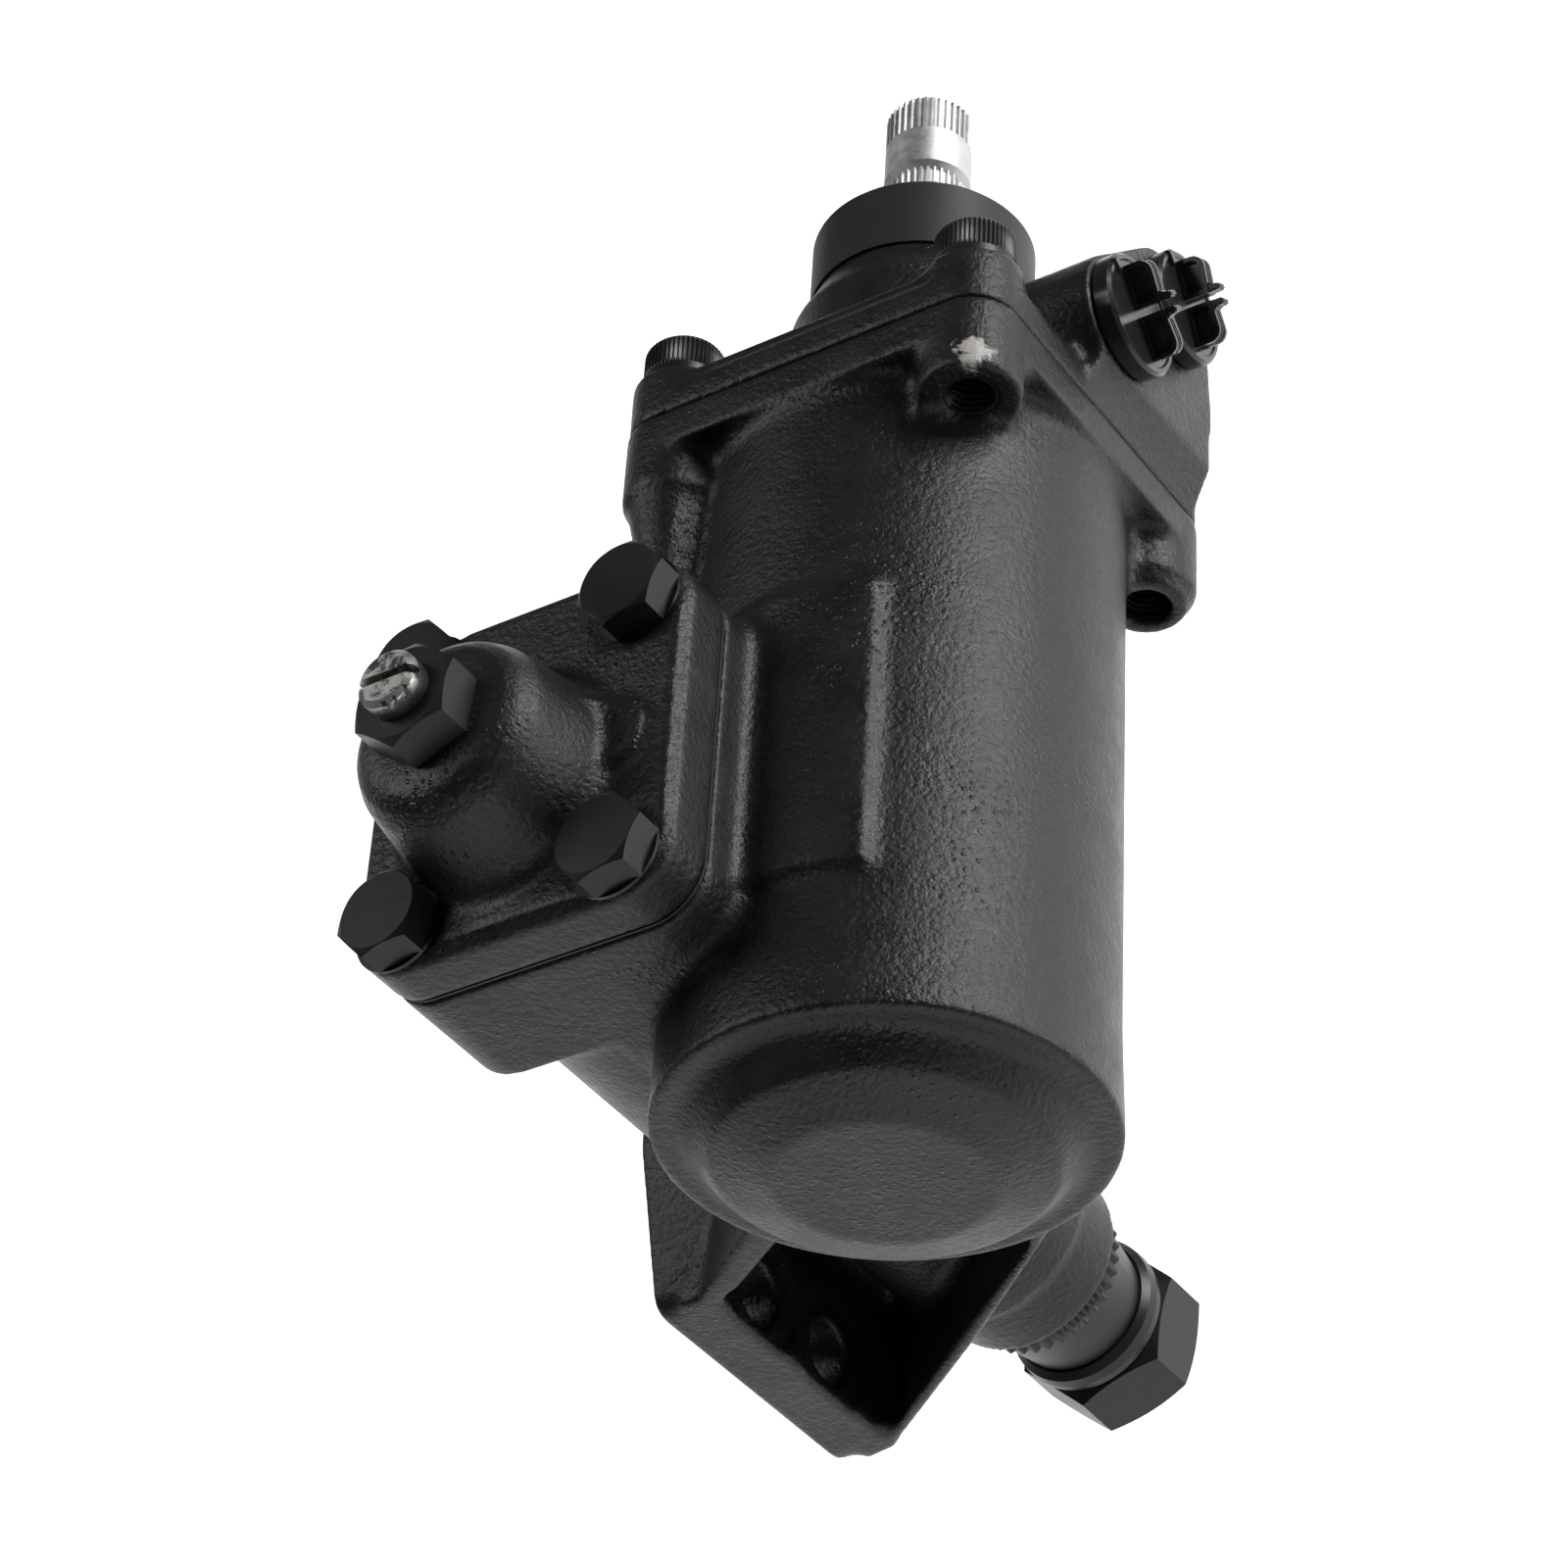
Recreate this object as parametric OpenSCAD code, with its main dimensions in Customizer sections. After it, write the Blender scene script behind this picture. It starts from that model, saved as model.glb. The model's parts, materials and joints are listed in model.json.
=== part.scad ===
// Worm gearbox: recirculating-ball steering gear with a rotary valve on the worm.
// Millimetres. The origin is the centre of the four mounting holes, on the mounting face.
// +X points from the mounting face to the port side, +Y towards the input shaft,
// +Z towards the side cover and its adjuster; the sector output points to -Z.

/* [Axes] */
// Worm axis, distance from the mounting face
worm_x = 80; // [78:0.5:82]
// Worm axis, height over the centre of the mounting holes
worm_z = 73; // [72:0.5:74]
// Radius of the piston bore
bore_r = 34; // [33.5:0.1:34.5]
// Distance from the sector axis to the pitch line of the rack
pitch_r = 20.5; // [20:0.1:21]
// Travel of the rack to each side
travel = 14.3; // [12:0.1:14.3]

/* [Main housing] */
// Outer radius of the barrel
barrel_r = 41.2; // [40.5:0.1:42]
// Top of the barrel, where the valve housing is bolted on
parting_y = 100.4; // [99:0.1:102]
// Rim at the closed end of the barrel
rim_y = -49.6; // [-51:0.1:-48]
// Half width of the square flange
flange_half = 42.6; // [42:0.1:43.5]
// Radius of the four ears of the flange
ear_r = 9.7; // [9:0.1:10.5]
// Screw axes of the flange, distance from the worm axis
ear_pos = 33; // [32.5:0.1:33.5]
// Machined face under the side cover
cover_z = 124.5; // [123.5:0.1:126]

/* [Mounting bracket] */
// Thickness of the mounting plate
plate_t = 14; // [12:0.5:16]
// Half length of the mounting plate and its webs
plate_half = 39.6; // [39:0.1:42]
// Radius of a mounting hole
mount_hole_r = 6.6; // [6:0.1:7]
// Distance between mounting holes along Y
mount_dy = 60; // [56:1:60]
// Distance between mounting holes along Z
mount_dz = 25; // [24:1:30]

/* [Sector side] */
// Distance between the cover bolts along X
bolt_dx = 46; // [44:1:46]
// Distance between the cover bolts along Y
bolt_dy = 56; // [54:1:56]
// Radius of the sector shaft in its needle bearing
journal_r = 17.8; // [17.4:0.1:17.8]
// Outer radius of the seal tower
tower_r = 22.5; // [22.2:0.1:24]

/* [Valve side] */
// Seats of the four cap screws
seat_y = 113.1; // [112:0.1:114]
// Top of the valve boss, under the dust cap
boss_top_y = 145; // [144:0.5:146]
// Top of the dust cap
cap_top_y = 162.3; // [161:0.1:164]
// Tip of the input shaft
input_top_y = 200.4; // [198:0.1:203]
// Machined face of the ports
port_face_x = 126.4; // [125:0.1:128]

/* [Ball screw] */
// Lead of the worm
lead = 7.5; // [7:0.1:8]
// Radius of the circle on which the ball centres run
ball_circle_r = 10; // [9.8:0.1:10.2]
// Radius of a ball
ball_r = 2.5; // [2.3:0.1:2.5]

/* [Hidden] */
$fn = 64;

run = 0.05;                       // radial clearance of a running or sliding fit
sector_x = worm_x - 41;           // sector axis
bolt_r = 4.95;                    // M10 shank
tapped_r = 5.02;                  // M10 tapped hole at its outer thread radius
screw_len = 21;                   // cap screw under its head
bolt_c = [sector_x + 2, 5];       // centre of the cover and its bolts
cover_lo = [7, -31.1];            // lower corner of the cover plate
cover_hi = [75, 42.1];            // upper corner of the cover plate
cover_r = 11;                     // corner radius of the cover plate
gasket_t = 0.5;
cover_t = 12.5;
plate_z = cover_z + gasket_t;     // underside of the cover
cover_top = cover_z + cover_t;
chamber_r = 26;                   // chamber around the sector
chamber_z = 49;
drum_r = 30.6;                    // casting around the chamber
spigot_z = 119;                   // lower end of the cover's spigot
dome_top = 160.5;
locknut_h = 8;
adjuster_top = 173.5;

rack_module = 2 * pitch_r / 9;    // nine teeth would make a full gear
pressure = 28;                    // pressure angle of the sector teeth
addendum = 0.8 * rack_module;
root_gap = 0.5;
side_gap = 0.1;                   // backlash cut into each flank of the rack
tooth_half = PI * rack_module / 4 - 0.05;
tip_r = pitch_r + addendum;
hub_r = pitch_r - addendum - root_gap - 0.16;
base_r = pitch_r * cos(pressure);
rack_x = sector_x + pitch_r;      // pitch line of the rack
rack_flat_x = rack_x - addendum;
rack_step = PI * rack_module;

piston_r = bore_r - 0.06;
piston_y = [-27, 60];
ring_y = [50, 53];                // groove of the piston ring
nut_y = 22;                       // middle of the ball track
track_turns = 3;
track_y = nut_y - track_turns * lead / 2;   // first ball of the track
balls_per_turn = 12;
thread_y = [-7, 53];
track_r = ball_r + 0.3;           // radius of the groove in the worm
thread_r = ball_circle_r - 0.6;
nut_bore_r = ball_circle_r + ball_r + run;
guide_r = 24;                     // return tube, distance of its bridge from the worm axis

valve_bore_r = 19;
bearing_y = [89, 100];            // worm bearing
ball_ring_r = 18;
worm_ball_r = 3;
sleeve_y = [106.5, 140];
spool_r = 12;
port_1 = [122.8, 73.3];           // pressure port, Y and Z
port_2 = [140.4, 54];             // return port, Y and Z
port_r = 8;
port_depth = 18;
shaft_neck_r = 7.9;
shaft_band_r = 8.9;

thread_end_z = -87;
nut_z = [-85.6, -70.6];
washer_z = [-70.6, -64];
serration_z = [-50, -44];
nose_z = -44;
nose_r = 20.3;
collar_z = -28.5;
bearing_bore_r = journal_r + 2.45;

// ---- helpers ----

// direction of the outward normal of an edge of a polygon that runs counter-clockwise
function edge_normal(a, b) = atan2(b[1] - a[1], b[0] - a[0]) - 90;
function positive(angle) = angle - 360 * floor(angle / 360);

// a convex outline, counter-clockwise, grown by r with round corners of n steps
function grown(pts, r, n = 8) = [
    for (i = [0:len(pts) - 1])
        let (p = pts[i],
             before = pts[(i + len(pts) - 1) % len(pts)],
             after = pts[(i + 1) % len(pts)],
             start = edge_normal(before, p),
             sweep = positive(edge_normal(p, after) - start))
        for (k = [0:n]) p + r * [cos(start + sweep * k / n), sin(start + sweep * k / n)]
];

// a rectangle with round corners
function round_rect(lo, hi, r, n = 8) = grown(
    [[lo[0] + r, lo[1] + r], [hi[0] - r, lo[1] + r], [hi[0] - r, hi[1] - r], [lo[0] + r, hi[1] - r]],
    r, n);

// local Z runs along the worm axis, local X stays X
module on_worm(y = 0) translate([worm_x, y, worm_z]) rotate([-90, 0, 0]) children();

module on_sector(z = 0) translate([sector_x, 0, z]) children();

// local Z runs along X
module along_x(x, y, z) translate([x, y, z]) rotate([0, 90, 0]) children();

// an outline drawn in X and Z, extruded along Y
module slab_xz(y0, y1) translate([0, y1, 0]) rotate([90, 0, 0]) linear_extrude(y1 - y0) children();

module ring(r_in, r_out, h) {
    difference() {
        cylinder(h = h, r = r_out);
        translate([0, 0, -1]) cylinder(h = h + 2, r = r_in);
    }
}

module at_ears() {
    for (sx = [-1, 1], sy = [-1, 1]) translate([sx * ear_pos, sy * ear_pos, 0]) children();
}

module at_cover_bolts(z = 0) {
    for (sx = [-1, 1], sy = [-1, 1])
        translate([bolt_c[0] + sx * bolt_dx / 2, bolt_c[1] + sy * bolt_dy / 2, z]) children();
}

// a gear or spline outline with straight flanks
function spline_outline(teeth, r_in, r_out) = [
    for (i = [0:teeth - 1], k = [0:3])
        let (a = 360 / teeth * (i + [0.0, 0.22, 0.5, 0.72][k]),
             r = k < 2 ? r_in : r_out)
        r * [cos(a), sin(a)]
];

function involute(angle) = tan(angle) * 180 / PI - angle;

// one flank of a sector tooth: radius and half angle from the tooth's middle
function flank_angle(r) =
    let (half = tooth_half / pitch_r * 180 / PI + involute(pressure))
    half - involute(acos(min(1, base_r / r)));

// ---- main casting and side cover ----

module barrel_solid() {
    on_worm() rotate_extrude($fn = 96) polygon([
        [0, -59], [20, -59], [31, -55.5], [34, -52], [36, rim_y], [barrel_r + 0.7, rim_y],
        [barrel_r, rim_y + 22], [barrel_r, parting_y - 12], [barrel_r + 1.3, parting_y - 6],
        [barrel_r + 1.3, parting_y], [0, parting_y]
    ]);
}

module flange_solid(low, high, half) {
    on_worm(low) linear_extrude(high - low)
        polygon(round_rect([-half, -half], [half, half], ear_r, 10));
}

module lug_solids() {
    on_worm(parting_y - 17) for (a = [45:90:315]) rotate([0, 0, a])
        translate([0, 0.5 - ear_r, 0.5]) cube([ear_pos * sqrt(2), 2 * ear_r - 1, 12]);
    on_worm(parting_y - 17) at_ears() cylinder(h = 17, r = ear_r + 0.15);
    on_worm(parting_y - 40) translate([-ear_pos, -ear_pos, 0]) cylinder(h = 25, r1 = 4, r2 = ear_r - 0.4);
    on_worm(parting_y - 20) translate([ear_pos, ear_pos, 0]) cylinder(h = 5, r1 = 8, r2 = ear_r - 0.4);
}

module sector_box_solid() {
    translate([0, 0, 98]) linear_extrude(cover_z - 98)
        polygon(round_rect(cover_lo, cover_hi, cover_r, 10));
    translate([sector_x, cover_lo[1], 70]) cube([cover_hi[0] - sector_x - 3, cover_hi[1] - cover_lo[1], 40]);
    on_sector(40) cylinder(h = 66, r = drum_r);
    translate([14, 2, 74]) cube([26, cover_hi[1] - 4, 34]);
    on_sector(18) cylinder(h = 24, r1 = tower_r - 1, r2 = drum_r - 1);
}

module tower_solid() {
    on_sector(collar_z) cylinder(h = 62, r = tower_r);
    on_sector(nose_z) cylinder(h = 20, r = nose_r);
}

// the plate that is bolted to the vehicle, seen along X
module mounting_plate() {
    rotate([90, 0, 90]) linear_extrude(plate_t) polygon(grown(
        [[-plate_half + 5, -34], [plate_half - 5, -34], [plate_half - 5, 25], [6, 32.5], [-6, 32.5],
         [-plate_half + 5, 25]], 5));
}

module webs() {
    slab_xz(-plate_half, plate_half)
        polygon([[6, 24], [18.9, 28.4], [34.8, 39], [50, 49.1], [52, 58], [45, 56.1], [31.8, 45.3],
            [11.2, 29.5], [6, 29]]);
    slab_xz(-plate_half, plate_half) polygon([
        [6, -38.9], [13.3, -36.8], [50, -8], [105, 38.5], [102, 48], [88, 40], [74.9, 15.2],
        [13.8, -33.4], [6, -28]]);
}

module pad_on_barrel() {
    intersection() {
        on_worm(-20) cylinder(h = 63, r = barrel_r + 1.8, $fn = 96);
        translate([68, -20, worm_z]) cube([30.5, 63, 60]);
    }
}

module mount_holes() {
    for (y = [-mount_dy / 2, mount_dy / 2], z = [-mount_dz / 2, mount_dz / 2]) {
        along_x(-1, y, z) cylinder(h = plate_t + 3, r = mount_hole_r);
        along_x(plate_t - 0.8, y, z) cylinder(h = 3, r = 12.2);
    }
}

module gear_housing() {
    color("dimgray") difference() {
        union() {
            barrel_solid();
            flange_solid(parting_y - 8.5, parting_y, flange_half);
            lug_solids();
            sector_box_solid();
            tower_solid();
            mounting_plate();
            webs();
            pad_on_barrel();
        }
        on_worm(-45) cylinder(h = parting_y + 50, r = bore_r, $fn = 96);
        on_sector(chamber_z) cylinder(h = 100, r = chamber_r, $fn = 96);
        on_sector(-26) cylinder(h = 80, r = bearing_bore_r);
        on_sector(nose_z - 1) cylinder(h = 30, r = journal_r + 1.2);
        on_worm(parting_y - 30) at_ears() cylinder(h = 40, r = tapped_r);
        at_cover_bolts(cover_z - 20) cylinder(h = 30, r = tapped_r);
        mount_holes();
    }
}

module side_cover() {
    color("dimgray") difference() {
        union() {
            translate([0, 0, plate_z]) linear_extrude(cover_top - plate_z - 2)
                polygon(round_rect(cover_lo, cover_hi, cover_r, 10));
            translate([0, 0, cover_top - 3]) linear_extrude(3)
                polygon(round_rect(cover_lo + [1.5, 1.5], cover_hi - [1.5, 1.5], cover_r - 1.5, 10));
            on_sector() rotate_extrude() polygon([
                [0, cover_top - 4], [24, cover_top - 4], [24, cover_top], [21.8, cover_top + 3],
                [20.2, 149], [19.4, 154], [17.6, 157.6], [15.2, 159.6], [12, dome_top], [0, dome_top]]);
            slab_xz(-4, 10) polygon([[50, cover_top - 3], [61, cover_top - 3], [61, cover_top + 2.1],
                [56.5, 145], [50, 154]]);
            translate([61, 3, cover_top - 3]) cylinder(h = 5, r = 7);
            on_sector(spigot_z) cylinder(h = 8, r = chamber_r - 0.1, $fn = 96);
        }
        on_sector(spigot_z - 1) cylinder(h = 18, r = 16.05);
        on_sector(spigot_z) cylinder(h = 24, r = 12);
        on_sector(spigot_z) cylinder(h = 60, r = 6.05);
        at_cover_bolts(plate_z - 1) cylinder(h = 30, r = 5.5);
        at_cover_bolts(cover_top - 0.5) cylinder(h = 3, r = 10.4);
    }
}

module side_cover_gasket() {
    color("black") difference() {
        translate([0, 0, cover_z]) linear_extrude(gasket_t)
            polygon(round_rect(cover_lo + [0.4, 0.4], cover_hi - [0.4, 0.4], cover_r - 0.4, 10));
        on_sector(cover_z - 1) cylinder(h = 3, r = chamber_r + 0.1, $fn = 96);
        at_cover_bolts(cover_z - 1) cylinder(h = 3, r = 5.5);
    }
}

// a hexagon across flats with a chamfered end
module hexagon(across, h, chamfer) {
    intersection() {
        cylinder(h = h, r = across / sqrt(3), $fn = 6);
        rotate_extrude() polygon([
            [0, 0], [across / sqrt(3), 0], [across / sqrt(3), h - chamfer * 0.55],
            [across / 2 - 0.2, h], [0, h]]);
    }
}

module side_cover_bolts() {
    color("dimgray") at_cover_bolts() {
        translate([0, 0, cover_top - 0.5]) cylinder(h = 0.7, r = 9);
        translate([0, 0, cover_top]) rotate([0, 0, 12]) hexagon(16, 6.5, 1.8);
        translate([0, 0, cover_z - 18]) cylinder(h = 32, r = bolt_r);
    }
}

module adjuster_screw() {
    color("silver") difference() {
        union() {
            on_sector(128.2) cylinder(h = 2.8, r = 8);
            on_sector(128.5) cylinder(h = 6.5, r = 5);
            on_sector(134.5) cylinder(h = adjuster_top - 135.5, r = 6);
            on_sector(adjuster_top - 1) cylinder(h = 1, r1 = 6, r2 = 5);
        }
        on_sector(adjuster_top - 2.4) translate([-7, -0.9, 0]) cube([14, 1.8, 4]);
    }
}

module adjuster_locknut() {
    color("dimgray") on_sector(dome_top) difference() {
        rotate([0, 0, 24]) hexagon(19, locknut_h, 2);
        translate([0, 0, -1]) cylinder(h = 20, r = 6.05);
    }
}

// ---- valve housing ----

module port_block_solid() {
    difference() {
        union() {
            translate([98, 0, 0]) rotate([90, 0, 90]) linear_extrude(port_face_x - 98) polygon(grown(
                [[124.5, 50.5], [port_2[0], 52], [port_2[0], 55], port_1 + [0.1, 0.1]], 13.5));
            translate([0, 0, 38]) linear_extrude(42)
                polygon([[96, parting_y], [122, parting_y], [port_face_x, 111], [port_face_x, 126], [96, 126]]);
        }
        translate([90, boss_top_y, 20]) cube([14.5, 30, 80]);
    }
}

module valve_housing() {
    color("dimgray") difference() {
        union() {
            flange_solid(parting_y, 107, flange_half);
            flange_solid(106, 110.5, flange_half - 1.2);
            on_worm(106) at_ears() cylinder(h = seat_y - 106, r = ear_r - 0.1);
            on_worm() rotate_extrude() polygon([
                [0, 105], [38.5, 105], [36.5, 110.8], [31.5, 113.5], [28.8, 117], [27.2, 124],
                [26, 136], [23.4, 141], [22.3, 143], [22.3, boss_top_y], [19, boss_top_y], [19, 158], [0, 158]]);
            on_worm(85) cylinder(h = 16, r = bore_r - 0.05, $fn = 96);
            port_block_solid();
        }
        on_worm(84) cylinder(h = bearing_y[1] - 84 + 0.6, r = 24.05);
        on_worm(99) cylinder(h = 44, r = valve_bore_r);
        on_worm(142) cylinder(h = 20, r = 13.05);
        on_worm(90) at_ears() cylinder(h = 40, r = 5.5);
        // the screw beside the port block: room for its head, and for the key above it
        on_worm(seat_y) translate([ear_pos, ear_pos, 0]) {
            cylinder(h = 11.4, r = 8.9);
            cylinder(h = 60, r = 4.6);
        }
        for (p = [port_1, port_2])
            along_x(port_face_x - port_depth, p[0], p[1]) cylinder(h = port_depth + 1, r = port_r);
        along_x(worm_x + 12, port_1[0], port_1[1]) cylinder(h = 20, r = 4);
        translate([113, 138, 54.5]) rotate([0, -64, 12]) cylinder(h = 26, r = 3.2);
        // groove of the o-ring in the spigot
        on_worm(90) ring(bore_r - 2.6, bore_r + 1, 3.4);
    }
}

module valve_housing_o_ring() {
    color("black") on_worm() rotate_extrude() translate([bore_r - 1.32, 91.7]) circle(r = 1.2, $fn = 24);
}

module valve_cap_screws() {
    color("dimgray") on_worm() at_ears() difference() {
        union() {
            translate([0, 0, seat_y]) cylinder(h = 8.9, r = 8);
            translate([0, 0, seat_y + 8.9]) cylinder(h = 1, r1 = 8, r2 = 7);
            translate([0, 0, seat_y - screw_len]) cylinder(h = screw_len + 1, r = bolt_r);
        }
        translate([0, 0, seat_y + 4.5]) cylinder(h = 8, r = 8 / sqrt(3), $fn = 6);
    }
}

module dust_cap() {
    color("#303030") on_worm() rotate_extrude() polygon([
        [20.6, boss_top_y], [22.5, boss_top_y], [22.5, cap_top_y - 1.4], [21.3, cap_top_y],
        [shaft_neck_r + 0.5, cap_top_y], [shaft_neck_r + 0.5, cap_top_y - 2.2], [20.6, cap_top_y - 2.2]]);
}

module input_seal() {
    color("black") on_worm() rotate_extrude() polygon([
        [10.06, 153], [13, 153], [13, 157.8], [11.6, 157.8], [11.6, 154.4], [10.06, 155.5]]);
}

module input_bearing() {
    color("silver") {
        on_worm(143.2) ring(12.4, 13, 9.2);
        on_worm(143.6) for (i = [0:17]) rotate([0, 0, 20 * i]) translate([11.22, 0, 0])
            cylinder(h = 8.4, r = 1.12);
    }
}

module port_seats() {
    color("goldenrod") for (p = [port_1, port_2])
        along_x(port_face_x - port_depth, p[0], p[1]) rotate_extrude() polygon([
            [2.4, 0], [port_r - 0.05, 0], [port_r - 0.05, 1.6], [5, 1.6], [2.4, 4.4]]);
}

// moulded shipping plug: stem, disc, and a domed cross to pull it out with
module port_plug(p, disc_r, turn) {
    along_x(port_face_x, p[0], p[1]) {
        translate([0, 0, -11]) cylinder(h = 11.5, r = port_r - 0.3);
        cylinder(h = 4.3, r = disc_r);
        rotate([0, 0, turn]) intersection() {
            rotate_extrude() polygon([
                [0, 4], [disc_r - 0.4, 4], [disc_r - 0.4, 8], [disc_r - 2.2, 10.8],
                [disc_r - 5.6, 12], [0, 12]]);
            union() for (a = [0, 90]) rotate([0, 0, a]) translate([-15, -2, 3]) cube([30, 4, 14]);
        }
    }
}

module pressure_port_plug() color("#181818") port_plug(port_1, 12.6, 28);

module return_port_plug() color("#181818") port_plug(port_2, 12, 20);

module worm_bearing_race(r_in, r_out) {
    on_worm() rotate_extrude() difference() {
        translate([r_in, bearing_y[0]]) square([r_out - r_in, bearing_y[1] - bearing_y[0]]);
        translate([ball_ring_r, (bearing_y[0] + bearing_y[1]) / 2]) circle(r = worm_ball_r + 0.08, $fn = 48);
    }
}

module worm_bearing_outer_race() color("silver") worm_bearing_race(19.3, 24);

module worm_bearing_inner_race() color("silver") worm_bearing_race(spool_r + run, 16.7);

module worm_bearing_balls() {
    color("silver") on_worm((bearing_y[0] + bearing_y[1]) / 2) for (i = [0:11])
        rotate([0, 0, 30 * i]) translate([ball_ring_r, 0, 0]) sphere(r = worm_ball_r, $fn = 32);
}

module bearing_lock_ring() {
    color("gray") on_worm(85.2) difference() {
        ring(18.5, 24, bearing_y[0] - 85.2);
        for (a = [0:90:270]) rotate([0, 0, a]) translate([21, -1.5, -1]) cube([5, 3, 3]);
    }
}

// ---- sector bearings and seals ----

module sector_bushing() {
    color("goldenrod") on_sector(spigot_z + 0.2) ring(14 + run, 16, 16.5);
}

module sector_bearing_cup() {
    color("silver") on_sector() rotate_extrude() polygon([
        [18.4, 2], [journal_r + 2.4, 2], [journal_r + 2.4, 44], [18.4, 44], [18.4, 43.3],
        [journal_r + 2.1, 43.3], [journal_r + 2.1, 2.7], [18.4, 2.7]]);
}

module sector_bearing_needles() {
    color("silver") on_sector(3) for (i = [0:47]) rotate([0, 0, 7.5 * i])
        translate([journal_r + 1.07, 0, 0]) cylinder(h = 40, r = 0.98, $fn = 24);
}

module sector_seal() {
    color("black") on_sector() rotate_extrude() polygon([
        [journal_r + 0.06, -6], [18.6, -9], [journal_r + 2.4, -9], [journal_r + 2.4, 0],
        [18.9, 0], [18.9, -5], [journal_r + 0.06, -4.6]]);
}

module sector_dust_seal() {
    color("black") on_sector() rotate_extrude() polygon([
        [journal_r + 0.06, nose_z + 0.4], [journal_r + 1.15, nose_z + 0.4],
        [journal_r + 1.15, nose_z + 8], [journal_r + 0.06, nose_z + 6]]);
}

// ---- rack piston ----

module rack_spaces() {
    half = rack_step / 4 + side_gap;
    deep = addendum + root_gap;
    high = addendum + 1;
    for (i = [-1:1]) translate([rack_x, i * rack_step, worm_z - bore_r]) linear_extrude(2 * bore_r)
        polygon([
            [-high, -half - high * tan(pressure)], [deep, -half + deep * tan(pressure)],
            [deep, half - deep * tan(pressure)], [-high, half + high * tan(pressure)]]);
}

module rack_piston() {
    color("silver") difference() {
        on_worm(piston_y[0]) cylinder(h = piston_y[1] - piston_y[0], r = piston_r, $fn = 96);
        translate([30, piston_y[0] - 1, worm_z - bore_r]) cube([rack_flat_x - 30, 69, 2 * bore_r]);
        rack_spaces();
        on_worm(piston_y[0] + 5) cylinder(h = 90, r = nut_bore_r);
        on_worm(piston_y[0] - 1) cylinder(h = 7, r = 14.05);
        on_worm(ring_y[0]) ring(piston_r - 2.5, bore_r + 2, ring_y[1] - ring_y[0]);
        translate([worm_x + 19.5, nut_y - 15.5, worm_z - 9]) cube([20, 31, 18]);
        for (s = [-1, 1]) {
            along_x(worm_x, nut_y + s * track_turns * lead / 2, worm_z) cylinder(h = 25, r = 3.5);
            along_x(worm_x + 15, nut_y, worm_z + s * 6.8) cylinder(h = 6, r = 1.55);
        }
    }
}

module piston_seal_ring() {
    color("black") on_worm(ring_y[0] + 0.1) ring(piston_r - 2.4, bore_r - 0.03, 2.8);
}

module piston_end_plug() {
    color("gray") on_worm(piston_y[0]) difference() {
        cylinder(h = 5, r = 14);
        translate([0, 0, -1]) cylinder(h = 4, r = 6, $fn = 6);
    }
}

module recirculating_balls() {
    color("silver") {
        on_worm() for (i = [0:track_turns * balls_per_turn])
            rotate([0, 0, 360 * i / balls_per_turn])
                translate([ball_circle_r, 0, track_y + lead * i / balls_per_turn])
                    sphere(r = ball_r - 0.02, $fn = 24);
        for (s = [-1, 1], r = [15.2, 20.4])
            translate([worm_x + r, nut_y + s * track_turns * lead / 2, worm_z])
                sphere(r = ball_r - 0.02, $fn = 24);
        for (i = [-1:1]) translate([worm_x + guide_r + 0.05, nut_y + 5.4 * i, worm_z])
            sphere(r = ball_r - 0.02, $fn = 24);
    }
}

module ball_guide_tube() {
    half = nut_y - track_y;
    color("silver") difference() {
        union() {
            for (s = [-1, 1]) along_x(worm_x + 13, nut_y + s * half, worm_z)
                cylinder(h = guide_r - 11, r = 3.4);
            translate([worm_x + guide_r, nut_y - half - 2.6, worm_z]) rotate([-90, 0, 0])
                cylinder(h = 2 * half + 5.2, r = 3.6);
        }
        for (s = [-1, 1]) along_x(worm_x + 12, nut_y + s * half, worm_z)
            cylinder(h = guide_r - 12, r = 2.6);
        translate([worm_x + guide_r, nut_y - half - 1.6, worm_z]) rotate([-90, 0, 0])
            cylinder(h = 2 * half + 3.2, r = 2.7);
    }
}

module ball_guide_clamp() {
    color("gray") difference() {
        union() {
            translate([worm_x + 27.8, nut_y - 5, worm_z - 8.6]) cube([1.5, 10, 17.2]);
            for (s = [-1, 1]) translate([worm_x + 19.6, nut_y - 4, worm_z + s * 6.8 - 1.8 - 0.2 * s])
                cube([9, 8, 4 - 0.4]);
        }
        for (s = [-1, 1]) along_x(worm_x + 18, nut_y, worm_z + s * 6.8) cylinder(h = 14, r = 1.55);
    }
}

module ball_guide_screws() {
    color("dimgray") for (s = [-1, 1]) {
        along_x(worm_x + 15.2, nut_y, worm_z + s * 6.8) cylinder(h = 15, r = 1.5);
        along_x(worm_x + 29.3, nut_y, worm_z + s * 6.8) cylinder(h = 1.6, r = 1.9);
    }
}

// ---- worm, valve and input shaft ----

// radius of the worm at a height and an angle: a round groove that climbs one lead a turn
function worm_radius(h, angle) =
    let (from_groove = (h - track_y) / lead - angle / 360,
         d = lead * (from_groove - round(from_groove)))
    abs(d) < track_r ? min(thread_r, ball_circle_r - sqrt(track_r * track_r - d * d)) : thread_r;

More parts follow.
